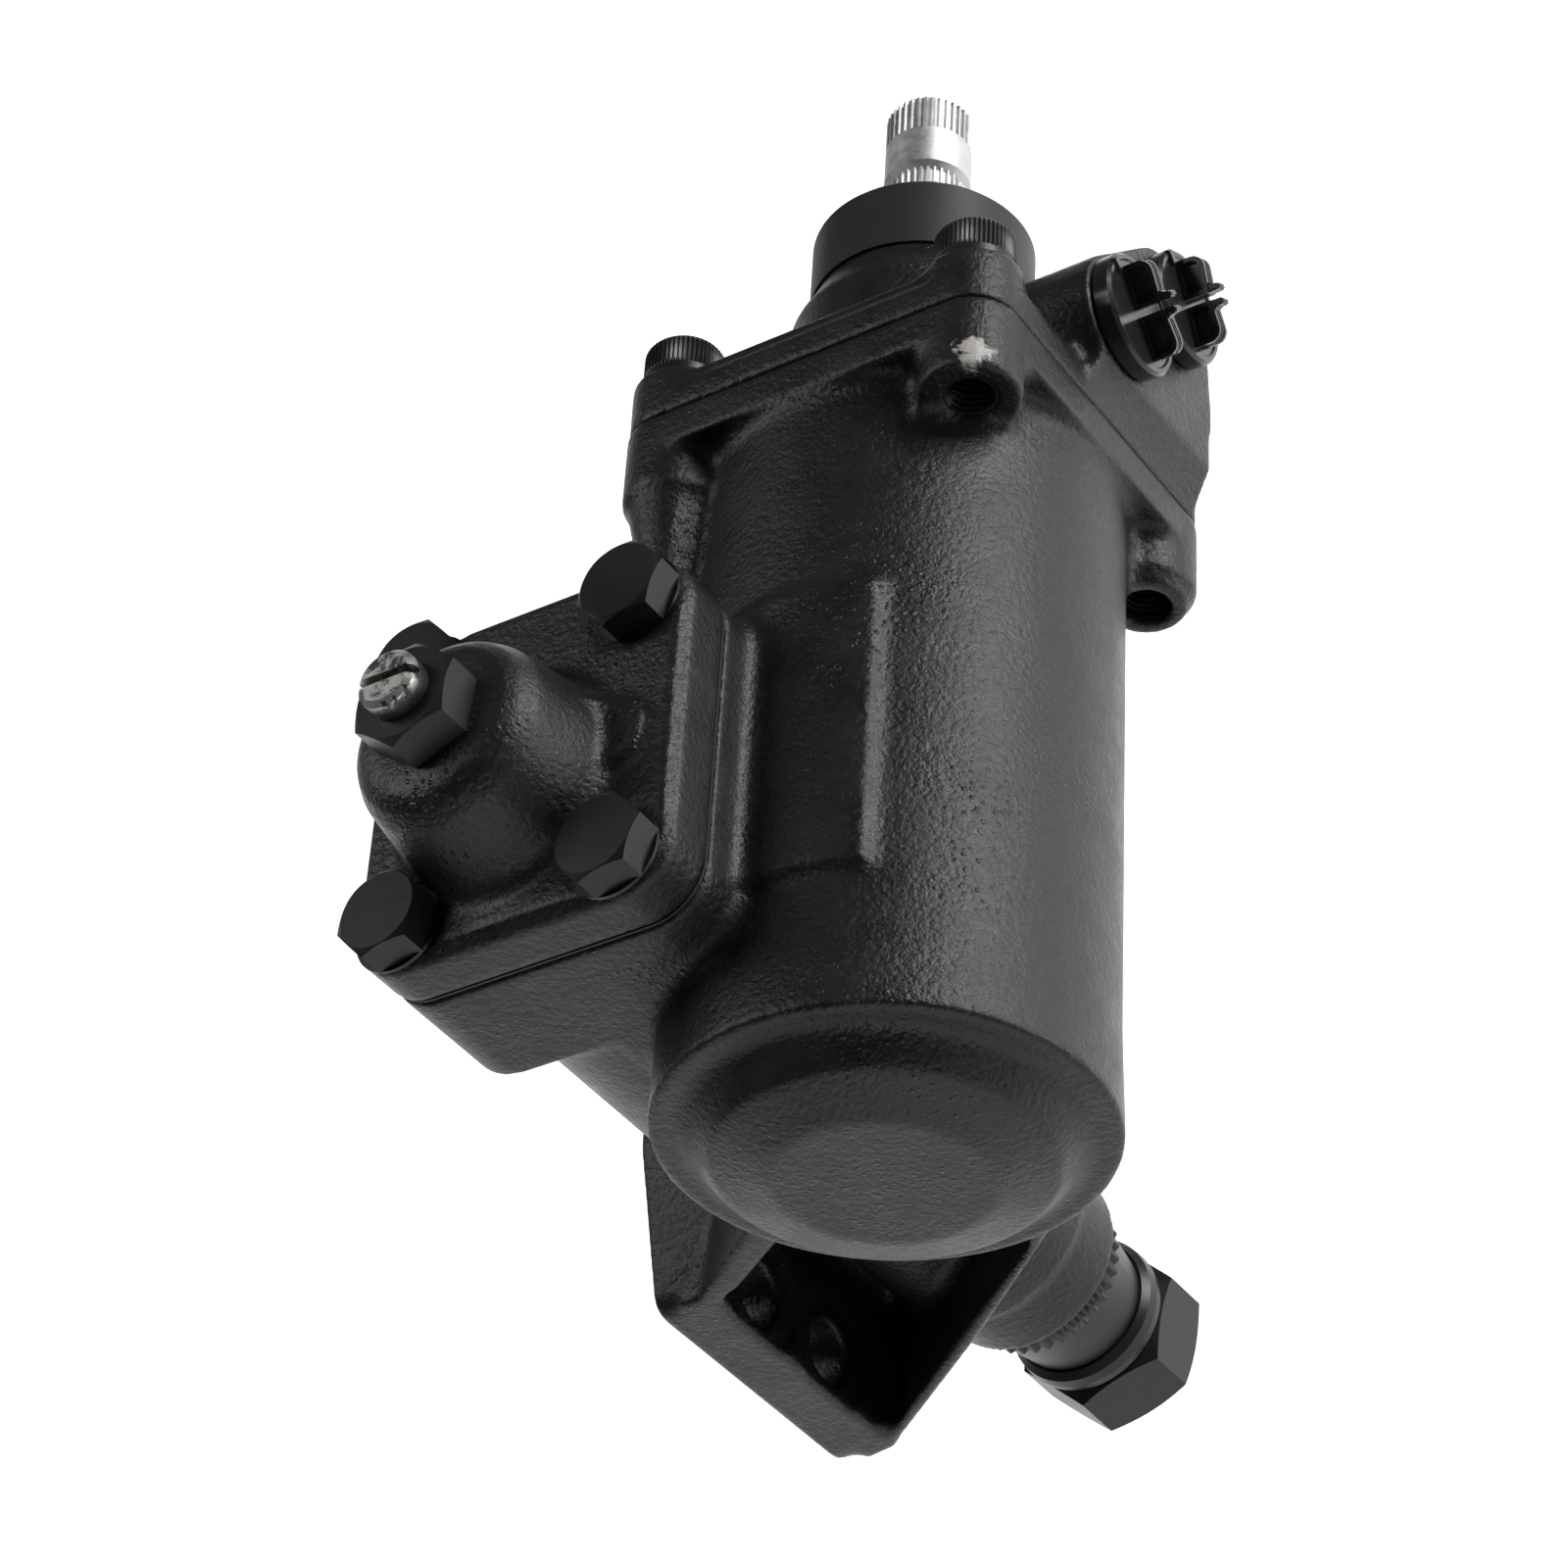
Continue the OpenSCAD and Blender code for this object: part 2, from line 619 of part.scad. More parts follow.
module worm_thread(steps = 24, per_turn = 8) {
    rings = round((thread_y[1] - thread_y[0]) / lead * per_turn);
    points = [
        for (j = [0:rings], i = [0:steps - 1])
            let (h = thread_y[0] + (thread_y[1] - thread_y[0]) * j / rings,
                 a = 360 * i / steps,
                 r = worm_radius(h, a))
            [r * cos(a), r * sin(a), h]
    ];
    sides = [
        for (j = [0:rings - 1], i = [0:steps - 1], half = [0, 1])
            let (a = j * steps + i,
                 b = j * steps + (i + 1) % steps)
            half == 0 ? [a, a + steps, b] : [b, a + steps, b + steps]
    ];
    bottom = [for (i = [0:steps - 1]) i];
    top = [for (i = [steps - 1:-1:0]) rings * steps + i];
    polyhedron(points, concat(sides, [bottom], [top]));
}

module worm_shaft() {
    color("silver") difference() {
        union() {
            on_worm() worm_thread();
            on_worm(thread_y[1] - 0.6) cylinder(h = 40, r = 8.4);
            on_worm(bearing_y[0] - 4.6) cylinder(h = 4.6, r = 14.5);
            on_worm(bearing_y[0] - 1) cylinder(h = 24, r = spool_r);
        }
        on_worm(96) cylinder(h = 20, r = 3.3);
        along_x(worm_x + 8.8, 0, worm_z) translate([0, 109, 0]) cylinder(h = 8, r = 1.55);
    }
}

module valve_sleeve() {
    color("silver") on_worm() difference() {
        translate([0, 0, sleeve_y[0]]) ring(spool_r + 0.08, valve_bore_r - 0.25, sleeve_y[1] - sleeve_y[0]);
        for (y = [112.4, 120.4, 128.4, 136.4]) translate([0, 0, y])
            ring(17.3, valve_bore_r + 1, 1.8);
        for (y = [115.2, 123.2, 131.2]) translate([0, 0, y]) ring(16.4, valve_bore_r + 1, 4.2);
        for (y = [117.3, 125.3, 133.3], a = [0:60:300]) translate([0, 0, y]) rotate([0, 90, a + 30])
            cylinder(h = 25, r = 1.3);
        translate([8.8, 0, 109]) rotate([0, 90, 0]) cylinder(h = 12, r = 1.55);
    }
}

module sleeve_drive_pin() {
    color("gray") translate([worm_x + 9, 109, worm_z]) rotate([0, 90, 0]) cylinder(h = 7.6, r = 1.5);
}

module sleeve_seal_rings() {
    color("black") for (y = [112.4, 120.4, 128.4, 136.4]) on_worm(y + 0.1)
        ring(17.35, valve_bore_r - 0.03, 1.6);
}

module input_shaft() {
    color("lightgray") difference() {
        union() {
            on_worm(113.6) cylinder(h = 27.4, r = spool_r);
            on_worm(140) cylinder(h = 18.6, r = 10);
            on_worm() rotate_extrude() polygon([
                [0, 158], [shaft_neck_r - 0.5, 158], [shaft_neck_r - 0.5, 179.4],
                [shaft_band_r, 180.9], [shaft_band_r, 190.2], [8.2, 190.2], [8.2, input_top_y - 1.2],
                [6.6, input_top_y - 0.4], [3.4, input_top_y], [0, input_top_y]]);
            on_worm(160.5) linear_extrude(19.7) polygon(spline_outline(34, shaft_neck_r - 0.6, shaft_neck_r));
            on_worm(189.7) linear_extrude(9.1)
                polygon(spline_outline(36, shaft_band_r - 0.85, shaft_band_r - 0.03));
        }
        on_worm(112) cylinder(h = 42, r = 3.3);
        for (a = [0:60:300]) on_worm(117) rotate([0, 0, a]) translate([11.1, -1.4, 0]) cube([3, 2.8, 21]);
        translate([worm_x - 12, 148.5, worm_z]) rotate([0, 90, 0]) cylinder(h = 24, r = 1.55);
    }
}

module torsion_bar() {
    color("gray") difference() {
        union() {
            on_worm(97) cylinder(h = 12, r = 3.15);
            on_worm(108) cylinder(h = 38, r = 2.3);
            on_worm(145) cylinder(h = 8, r = 3.15);
        }
        translate([worm_x - 12, 148.5, worm_z]) rotate([0, 90, 0]) cylinder(h = 24, r = 1.55);
    }
}

module torsion_bar_pin() {
    color("gray") translate([worm_x - 9.6, 148.5, worm_z]) rotate([0, 90, 0]) cylinder(h = 19.2, r = 1.5);
}

// ---- sector shaft and output ----

module sector_teeth() {
    steps = 6;
    for (i = [-1:1]) rotate([0, 0, 40 * i]) linear_extrude(44) polygon(concat(
        [[hub_r - 4, -4], [hub_r * cos(flank_angle(base_r)), -hub_r * sin(flank_angle(base_r))]],
        [for (k = [0:steps])
            let (r = base_r + (tip_r - base_r) * k / steps)
            r * [cos(flank_angle(r)), -sin(flank_angle(r))]],
        [for (k = [steps:-1:0])
            let (r = base_r + (tip_r - base_r) * k / steps)
            r * [cos(flank_angle(r)), sin(flank_angle(r))]],
        [[hub_r * cos(flank_angle(base_r)), hub_r * sin(flank_angle(base_r))], [hub_r - 4, 4]]));
}

module sector_shaft() {
    color("silver") difference() {
        union() {
            on_sector(51) sector_teeth();
            on_sector() rotate_extrude() polygon([
                [0, thread_end_z], [9.6, thread_end_z], [10.9, thread_end_z + 1.4], [10.9, washer_z[1]],
                [14.4, washer_z[1] + 0.1], [16.6, serration_z[0] + 0.2], [16.9, serration_z[0] + 1],
                [16.9, serration_z[1] + 0.5], [journal_r, serration_z[1] + 1], [journal_r, 47.5],
                [hub_r, 47.6], [hub_r, 97], [14, 97.6], [14, 133], [12.8, 134], [0, 134]]);
            on_sector(serration_z[0]) linear_extrude(serration_z[1] - serration_z[0] + 1.2)
                polygon(spline_outline(36, journal_r - 1.1, journal_r));
        }
        on_sector(128) cylinder(h = 3.2, r = 8.2);
        on_sector(128) translate([0, -5.3, 0]) cube([20, 10.6, 10]);
        on_sector(128) translate([0, -8.2, 0]) cube([20, 16.4, 3.2]);
        on_sector(126) cylinder(h = 12, r = 5.3);
    }
}

module lock_washer() {
    color("dimgray") on_sector() rotate_extrude() polygon([
        [11.1, washer_z[0]], [15.2, washer_z[0]], [16.3, washer_z[0] + 1.2], [16.5, washer_z[0] + 3],
        [16.3, washer_z[1] - 1.4], [15, washer_z[1]], [11.1, washer_z[1]]]);
}

module output_nut() {
    color("dimgray") on_sector() difference() {
        intersection() {
            translate([0, 0, nut_z[0]]) rotate([0, 0, 20]) cylinder(h = nut_z[1] - nut_z[0], r = 32 / sqrt(3), $fn = 6);
            rotate_extrude() polygon([
                [0, nut_z[0]], [15.6, nut_z[0]], [19, nut_z[0] + 1.9], [19, nut_z[1] - 1.9],
                [15.6, nut_z[1]], [0, nut_z[1]]]);
        }
        translate([0, 0, nut_z[0] - 1]) cylinder(h = 30, r = 11);
    }
}

gear_housing();
side_cover();
side_cover_gasket();
side_cover_bolts();
adjuster_screw();
adjuster_locknut();
valve_housing();
valve_cap_screws();
valve_housing_o_ring();
dust_cap();
input_seal();
input_bearing();
port_seats();
pressure_port_plug();
return_port_plug();
worm_bearing_outer_race();
worm_bearing_balls();
worm_bearing_inner_race();
bearing_lock_ring();
sector_bushing();
sector_bearing_cup();
sector_bearing_needles();
sector_seal();
sector_dust_seal();
rack_piston();
piston_seal_ring();
recirculating_balls();
ball_guide_tube();
ball_guide_clamp();
ball_guide_screws();
piston_end_plug();
worm_shaft();
valve_sleeve();
sleeve_seal_rings();
sleeve_drive_pin();
input_shaft();
torsion_bar();
torsion_bar_pin();
sector_shaft();
lock_washer();
output_nut();
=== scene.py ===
"""Looks of a worm gearbox (recirculating-ball steering gear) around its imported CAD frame.
Metres, same axes as the frame: +X ports, +Y input shaft, +Z side cover."""

import json
import math

import bmesh
import bpy
from mathutils import Matrix, Vector


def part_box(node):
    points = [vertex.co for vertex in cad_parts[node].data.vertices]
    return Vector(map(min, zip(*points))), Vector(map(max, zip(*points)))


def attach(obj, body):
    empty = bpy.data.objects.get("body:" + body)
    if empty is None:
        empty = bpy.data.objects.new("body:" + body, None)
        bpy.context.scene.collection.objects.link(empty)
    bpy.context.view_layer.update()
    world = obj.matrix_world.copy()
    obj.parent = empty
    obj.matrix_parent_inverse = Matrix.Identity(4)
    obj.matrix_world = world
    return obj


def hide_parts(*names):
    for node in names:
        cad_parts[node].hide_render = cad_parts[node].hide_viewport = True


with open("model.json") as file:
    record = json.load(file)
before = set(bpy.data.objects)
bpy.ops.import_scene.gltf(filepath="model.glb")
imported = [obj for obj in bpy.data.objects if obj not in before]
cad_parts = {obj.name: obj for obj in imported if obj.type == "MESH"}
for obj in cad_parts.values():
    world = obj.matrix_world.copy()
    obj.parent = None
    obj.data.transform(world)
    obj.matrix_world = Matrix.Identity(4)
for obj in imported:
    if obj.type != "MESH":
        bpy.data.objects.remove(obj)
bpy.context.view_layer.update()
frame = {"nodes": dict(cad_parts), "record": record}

MM = 0.001
NODES = frame["nodes"]
SLOT_OF = {s["node"]: s["material_slot"] for s in frame["record"]["subparts"]}

# named places, in metres, from the frame's boxes
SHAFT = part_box("input_shaft")
WORM_X = (SHAFT[0][0] + SHAFT[1][0]) / 2
WORM_Z = (SHAFT[0][2] + SHAFT[1][2]) / 2


# ---------------------------------------------------------------- camera

AZIMUTH = 37.31
ELEVATION = 40.87
ROLL = -45.75
CAMERA_AT = Vector((0.4540, -0.4874, 0.6446))
LENS = 106.3
SENSOR = 36


def add_camera():
    data = bpy.data.cameras.new("camera")
    data.lens = LENS
    data.sensor_width = SENSOR
    data.clip_start = 0.05
    data.clip_end = 20
    camera = bpy.data.objects.new("camera", data)
    turn = (
        Matrix.Rotation(math.radians(AZIMUTH), 4, "Z")
        @ Matrix.Rotation(math.radians(90 - ELEVATION), 4, "X")
        @ Matrix.Rotation(math.radians(ROLL), 4, "Z")
    )
    camera.matrix_world = Matrix.Translation(CAMERA_AT) @ turn
    bpy.context.scene.collection.objects.link(camera)
    bpy.context.scene.camera = camera
    return camera


CAMERA = add_camera()

CENTRE = Vector((0.07, 0.06, 0.05))     # what the lights look at
FLOOR_HALF = 3.0
FLOOR_Z = -0.45


def add_light(name, where, size, power, colour=(1, 1, 1)):
    """An area light looking at the part, placed in the camera's own directions: right, up, towards."""
    data = bpy.data.lights.new(name, "AREA")
    data.shape = "RECTANGLE"
    data.size, data.size_y = size
    data.energy = power
    data.color = colour
    light = bpy.data.objects.new(name, data)
    axes = CAMERA.matrix_world.to_3x3()
    light.location = CENTRE + axes @ Vector(where)
    aim = light.location - CENTRE
    light.rotation_euler = aim.to_track_quat("Z", "Y").to_euler()
    bpy.context.scene.collection.objects.link(light)


def add_world(strength):
    world = bpy.data.worlds.new("studio")
    world.use_nodes = True
    back = world.node_tree.nodes["Background"]
    back.inputs["Color"].default_value = (1, 1, 1, 1)
    back.inputs["Strength"].default_value = strength
    bpy.context.scene.world = world


def add_floor():
    mesh = bpy.data.meshes.new("floor")
    corners = [(x * FLOOR_HALF, y * FLOOR_HALF, FLOOR_Z) for x, y in ((-1, -1), (1, -1), (1, 1), (-1, 1))]
    mesh.from_pydata(corners, [], [(0, 1, 2, 3)])
    floor = bpy.data.objects.new("floor", mesh)
    bpy.context.scene.collection.objects.link(floor)
    material = bpy.data.materials.new("floor")
    material.use_nodes = True
    shader = material.node_tree.nodes["Principled BSDF"]
    shader.inputs["Base Color"].default_value = (0.5, 0.5, 0.5, 1)
    shader.inputs["Roughness"].default_value = 0.9
    shader.inputs["Emission Color"].default_value = (1, 1, 1, 1)
    shader.inputs["Emission Strength"].default_value = 0.95
    mesh.materials.append(material)


add_world(0.1)
add_floor()
add_light("right_strip", (1.25, 0.15, 0.15), (0.4, 1.3), 17)
add_light("upper_right", (0.75, 1.1, 0.35), (0.6, 0.6), 26)
add_light("left_strip", (-1.2, 0.5, 0.2), (0.5, 1.2), 10)
add_light("low_front", (0.1, -1.0, 0.9), (1.0, 0.5), 5)


# ---------------------------------------------------------------- materials

class Shader:
    """A Principled material with a small kit for procedural detail."""

    def __init__(self, name, colour, roughness, **sockets):
        self.material = bpy.data.materials.new(name)
        self.material.use_nodes = True
        self.tree = self.material.node_tree
        self.bsdf = self.tree.nodes["Principled BSDF"]
        self.bsdf.inputs["Base Color"].default_value = (*colour, 1)
        self.bsdf.inputs["Roughness"].default_value = roughness
        for key, value in sockets.items():
            self.bsdf.inputs[key.replace("_", " ")].default_value = value
        self.where = self.tree.nodes.new("ShaderNodeTexCoord").outputs["Object"]
        self.bump_before = None

    def node(self, kind, **values):
        made = self.tree.nodes.new(kind)
        for key, value in values.items():
            if hasattr(made, key):
                setattr(made, key, value)
            else:
                made.inputs[key.replace("_", " ")].default_value = value
        return made

    def link(self, a, b):
        self.tree.links.new(a, b)

    def noise(self, scale, detail=3.0, rough=0.5, distortion=0.0):
        made = self.node(
            "ShaderNodeTexNoise", Scale=scale, Detail=detail, Roughness=rough, Distortion=distortion)
        self.link(self.where, made.inputs["Vector"])
        return made.outputs["Fac"]

    def voronoi(self, scale, output="Distance", randomness=1.0):
        made = self.node("ShaderNodeTexVoronoi", Scale=scale, Randomness=randomness)
        self.link(self.where, made.inputs["Vector"])
        return made.outputs[output]

    def ramp(self, value, low, high, out_low=0.0, out_high=1.0):
        made = self.node("ShaderNodeMapRange")
        sockets = {"From Min": low, "From Max": high, "To Min": out_low, "To Max": out_high}
        for socket, number in sockets.items():
            made.inputs[socket].default_value = number
        self.link(value, made.inputs["Value"])
        return made.outputs["Result"]

    def maths(self, operation, a, b):
        made = self.node("ShaderNodeMath", operation=operation)
        for socket, value in zip(made.inputs, (a, b)):
            if isinstance(value, (int, float)):
                socket.default_value = value
            else:
                self.link(value, socket)
        return made.outputs[0]

    def mix(self, factor, a, b):
        made = self.node("ShaderNodeMix", data_type="RGBA")
        for socket, value in ((made.inputs["Factor"], factor), (made.inputs[6], a), (made.inputs[7], b)):
            if isinstance(value, tuple):
                socket.default_value = (*value, 1)
            elif isinstance(value, (int, float)):
                socket.default_value = value
            else:
                self.link(value, socket)
        return made.outputs[2]

    def bump(self, height, strength, distance):
        made = self.node("ShaderNodeBump", Strength=strength, Distance=distance)
        self.link(height, made.inputs["Height"])
        if self.bump_before:
            self.link(self.bump_before, made.inputs["Normal"])
        self.bump_before = made.outputs["Normal"]
        self.link(made.outputs["Normal"], self.bsdf.inputs["Normal"])

    def colour(self, value):
        self.link(value, self.bsdf.inputs["Base Color"])

    def roughness(self, value):
        self.link(value, self.bsdf.inputs["Roughness"])


CHIP_AT = (0.1180, 0.0865, 0.1130)       # paint knocked off the front lug's outer corner


def cast_paint():
    """Satin black paint over a sand-cast skin: pebbled, patchy, with glossy beads and one bare chip."""
    s = Shader("cast_paint", (0.006, 0.006, 0.0065), 0.4, Specular_IOR_Level=0.24)
    pebbles = s.noise(820, 4, 0.6)
    waves = s.noise(110, 3, 0.5)
    patches = s.noise(38, 2, 0.5)
    beads = s.voronoi(620)
    bead_here = s.maths("MULTIPLY", s.ramp(beads, 0.34, 0.12), s.ramp(patches, 0.5, 0.66))
    distance = s.node("ShaderNodeVectorMath", operation="DISTANCE")
    s.link(s.where, distance.inputs[0])
    distance.inputs[1].default_value = CHIP_AT
    torn = s.ramp(s.noise(300, 4, 0.7), 0.3, 0.7, -0.0016, 0.0016)
    ragged = s.maths("ADD", distance.outputs["Value"], torn)
    chip = s.ramp(ragged, 0.0036, 0.0028)
    paint = s.mix(s.ramp(waves, 0.35, 0.7), (0.0045, 0.0045, 0.005), (0.008, 0.008, 0.009))
    s.colour(s.mix(chip, paint, (0.27, 0.26, 0.245)))
    dull = s.ramp(s.maths("ADD", pebbles, waves), 0.7, 1.3, 0.30, 0.46)
    s.roughness(s.maths("SUBTRACT", dull, s.maths("MULTIPLY", bead_here, 0.16)))
    s.bump(waves, 0.3, 0.0008)
    s.bump(pebbles, 0.6, 0.0006)
    s.bump(bead_here, 0.5, 0.0004)
    return s.material


def smooth_paint():
    """The same paint on machined faces and fasteners."""
    s = Shader("smooth_paint", (0.007, 0.007, 0.008), 0.36, Specular_IOR_Level=0.24)
    fine = s.noise(700, 3, 0.5)
    slow = s.noise(60, 2, 0.5)
    s.roughness(s.ramp(slow, 0.3, 0.7, 0.3, 0.42))
    s.colour(s.mix(slow, (0.005, 0.005, 0.0055), (0.009, 0.009, 0.010)))
    s.bump(slow, 0.12, 0.0006)
    s.bump(fine, 0.14, 0.0002)
    return s.material


def worn_paint():
    """Paint with bare metal on the slotted tip of the adjuster."""
    s = Shader("worn_paint", (0.01, 0.01, 0.011), 0.36, Metallic=0.0)
    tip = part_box("adjuster_screw")[1][2]
    height = s.node("ShaderNodeSeparateXYZ")
    s.link(s.where, height.inputs[0])
    scratch = s.maths("MULTIPLY", s.ramp(height.outputs["Z"], tip - 0.0030, tip - 0.0010),
                      s.ramp(s.noise(260, 4, 0.7), 0.44, 0.54))
    s.colour(s.mix(scratch, (0.010, 0.010, 0.011), (0.45, 0.44, 0.42)))
    s.link(scratch, s.bsdf.inputs["Metallic"])
    s.bump(s.noise(500, 3, 0.6), 0.2, 0.0003)
    return s.material


def bare_steel():
    s = Shader("bare_steel", (0.5, 0.5, 0.5), 0.5, Metallic=1.0)
    fine = s.noise(400, 3, 0.6)
    s.colour(s.mix(fine, (0.36, 0.36, 0.36), (0.52, 0.51, 0.50)))
    s.roughness(s.ramp(fine, 0.3, 0.7, 0.44, 0.58))
    s.bump(fine, 0.1, 0.0001)
    return s.material


def plug_plastic():
    """Moulded black plastic with a soft gloss."""
    s = Shader("plug_plastic", (0.008, 0.008, 0.009), 0.22, Specular_IOR_Level=0.35)
    slow = s.noise(180, 3, 0.5)
    s.roughness(s.ramp(slow, 0.3, 0.7, 0.17, 0.3))
    s.bump(slow, 0.12, 0.0004)
    return s.material


def cap_rubber():
    """The dust cap: even, fine-grained black."""
    s = Shader("cap_rubber", (0.012, 0.012, 0.013), 0.5, Specular_IOR_Level=0.2)
    fine = s.noise(1500, 2, 0.5)
    slow = s.noise(50, 2, 0.5)
    s.roughness(s.ramp(slow, 0.3, 0.7, 0.44, 0.54))
    s.colour(s.mix(slow, (0.012, 0.012, 0.013), (0.017, 0.017, 0.018)))
    s.bump(fine, 0.1, 0.0001)
    return s.material


def seal_rubber():
    s = Shader("seal_rubber", (0.008, 0.008, 0.008), 0.6, Specular_IOR_Level=0.3)
    fine = s.noise(800, 3, 0.5)
    s.colour(s.mix(fine, (0.006, 0.006, 0.006), (0.012, 0.012, 0.012)))
    s.bump(fine, 0.15, 0.0001)
    return s.material


def brass():
    s = Shader("brass", (0.62, 0.45, 0.18), 0.35, Metallic=1.0)
    fine = s.noise(500, 3, 0.6)
    s.colour(s.mix(fine, (0.5, 0.34, 0.12), (0.68, 0.5, 0.22)))
    s.roughness(s.ramp(fine, 0.3, 0.7, 0.28, 0.42))
    return s.material


MATERIALS = {
    "cast": cast_paint(),
    "smooth": smooth_paint(),
    "worn": worn_paint(),
    "steel": bare_steel(),
    "plug": plug_plastic(),
    "cap": cap_rubber(),
    "seal": seal_rubber(),
    "brass": brass(),
}
FINISH = {
    "black_paint_cast": "smooth", "black_plastic": "plug", "cap_rubber": "cap", "seal_rubber": "seal",
    "gasket": "seal", "brass": "brass", "bright_steel": "steel", "bearing_steel": "steel",
}
FINISH_OF_NODE = {"adjuster_screw": "worn"}
for name, obj in NODES.items():
    obj.data.materials.clear()
    obj.data.materials.append(MATERIALS[FINISH_OF_NODE.get(name, FINISH[SLOT_OF[name]])])


# ---------------------------------------------------------------- mesh tools

def add_piece(name, mesh, material, body, replaced=()):
    """A finished piece on its body and the CAD nodes it stands for."""
    mesh.materials.clear()
    mesh.materials.append(MATERIALS[material])
    obj = bpy.data.objects.new(name, mesh)
    bpy.context.scene.collection.objects.link(obj)
    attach(obj, body)
    if replaced:
        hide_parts(*replaced)
    return obj


def modified(mesh, *steps):
    """The mesh after a list of modifiers, each (type, {setting: value})."""
    obj = bpy.data.objects.new("work", mesh)
    bpy.context.scene.collection.objects.link(obj)
    for kind, values in steps:
        modifier = obj.modifiers.new(kind.lower(), kind)
        for key, value in values.items():
            setattr(modifier, key, value)
    graph = bpy.context.evaluated_depsgraph_get()
    result = bpy.data.meshes.new_from_object(obj.evaluated_get(graph))
    bpy.data.objects.remove(obj)
    return result


def remesh(size):
    return ("REMESH", {"mode": "VOXEL", "voxel_size": size * MM, "use_smooth_shade": True})


def offset(distance):
    return ("DISPLACE", {"mid_level": 0.0, "strength": distance * MM, "direction": "NORMAL"})


def smooth(factor, times):
    return ("SMOOTH", {"factor": factor, "iterations": times})


def cast_skin(node, voxel, fillet, rounds):
    """A CAD casting with its inside corners filled to a radius and its edges eased, as sand casting does."""
    mesh = NODES[node].data.copy()
    mesh = modified(mesh, remesh(voxel), offset(fillet), remesh(voxel), smooth(0.5, 3))
    mesh = modified(mesh, offset(-fillet), remesh(voxel), smooth(0.5, rounds))
    mesh.name = node + "_skin"
    return mesh


BORE_R = 34.25           # a little over the CAD bore
BORE_NEAR = 33.0         # no wall lies between this radius and the bore
BORE_FLOOR = -42.8       # just short of the rounded corner at the closed end


def opened_bore(mesh):
    """The skin with its bore round the worm's axis set to one radius, so the piston runs clear in it."""
    for vertex in mesh.vertices:
        away = Vector((vertex.co.x - WORM_X, 0, vertex.co.z - WORM_Z))
        if vertex.co.y > BORE_FLOOR * MM and BORE_NEAR * MM < away.length < BORE_R * MM:
            vertex.co += away.normalized() * (BORE_R * MM - away.length)
    return mesh


add_piece("housing_casting", opened_bore(cast_skin("gear_housing", 0.72, 1.9, 2)), "cast", "housing",
          ["gear_housing"])
add_piece("valve_casting", cast_skin("valve_housing", 0.65, 1.4, 2), "cast", "housing",
          ["valve_housing"])
add_piece("cover_casting", cast_skin("side_cover", 0.65, 1.4, 2), "cast", "housing",
          ["side_cover"])


# ---------------------------------------------------------------- turned pieces

def lathe(rings, steps, radius_of=None):
    """A closed surface round local Z from rings of (radius, height).
    radius_of(radius, height, angle), where given, changes the radius."""
    bm = bmesh.new()
    rows = []
    for radius, height in rings:
        row = []
        for i in range(steps):
            angle = 2 * math.pi * i / steps
            r = radius_of(radius, height, angle) if radius_of else radius
            row.append(bm.verts.new((r * math.cos(angle) * MM, r * math.sin(angle) * MM, height * MM)))
        rows.append(row)
    for low, high in zip(rows, rows[1:]):
        for i in range(steps):
            j = (i + 1) % steps
            bm.faces.new((low[i], low[j], high[j], high[i]))
    bm.faces.new(list(reversed(rows[0])))
    bm.faces.new(rows[-1])
    return bm


def along(axis, where):
    """Placement of a lathe piece: its local Z along a row axis, at a point in metres."""
    turns = {"Y": Matrix.Rotation(-math.pi / 2, 4, "X"), "X": Matrix.Rotation(math.pi / 2, 4, "Y")}
    return Matrix.Translation(where) @ turns[axis]


def mesh_from(name, parts, sharp=35):
    """One mesh from several (bmesh, matrix) parts, smooth-shaded up to an angle."""
    joined = bmesh.new()
    for bm, matrix in parts:
        bm.transform(matrix)
        bmesh.ops.recalc_face_normals(bm, faces=bm.faces)
        piece = bpy.data.meshes.new("part")
        bm.to_mesh(piece)
        bm.free()
        joined.from_mesh(piece)
        bpy.data.meshes.remove(piece)
    mesh = bpy.data.meshes.new(name)
    joined.to_mesh(mesh)
    joined.free()
    mesh.shade_smooth()
    mesh.set_sharp_from_angle(angle=math.radians(sharp))
    return mesh


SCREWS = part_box("valve_cap_screws")
HEAD_R = 8.0
HEAD_H = 9.9
HEAD_TOP = SCREWS[1][1]
EARS = [(x, z) for x in (SCREWS[0][0] + HEAD_R * MM, SCREWS[1][0] - HEAD_R * MM)
        for z in (SCREWS[0][2] + HEAD_R * MM, SCREWS[1][2] - HEAD_R * MM)]


def cap_screw():
    """Socket head: plain band below, straight knurl above, eased rim, hexagon socket."""
    knurls = 54
    socket = 4.05

    def shape(radius, height, angle):
        if 2.9 < height < 8.9 and radius > 7:
            return radius + 0.16 * math.cos(knurls * angle)
        if radius < 5:
            third = angle % (math.pi / 3) - math.pi / 6
            return radius / math.cos(third)
        return radius

    rings = [(4.9, -18), (4.9, 0), (7.55, 0), (7.8, 0.3), (7.8, 2.5), (7.6, 2.7), (7.65, 3.0), (7.8, 3.3),
             (7.8, 8.3), (7.65, 8.8), (7.3, 9.4), (6.8, 9.75), (6.2, HEAD_H), (5.1, HEAD_H),
             (socket + 0.1, 9.6), (socket, 9.3), (socket, 5.2), (socket * 0.8, 5.0), (0.4, 4.0)]
    return lathe(rings, knurls * 6, shape)


add_piece("cap_screws", mesh_from("cap_screws", [
    (cap_screw(), along("Y", (x, HEAD_TOP - HEAD_H * MM, z)) @ Matrix.Rotation(0.4 * i, 4, "Z"))
    for i, (x, z) in enumerate(EARS)]), "smooth", "housing", ["valve_cap_screws"])


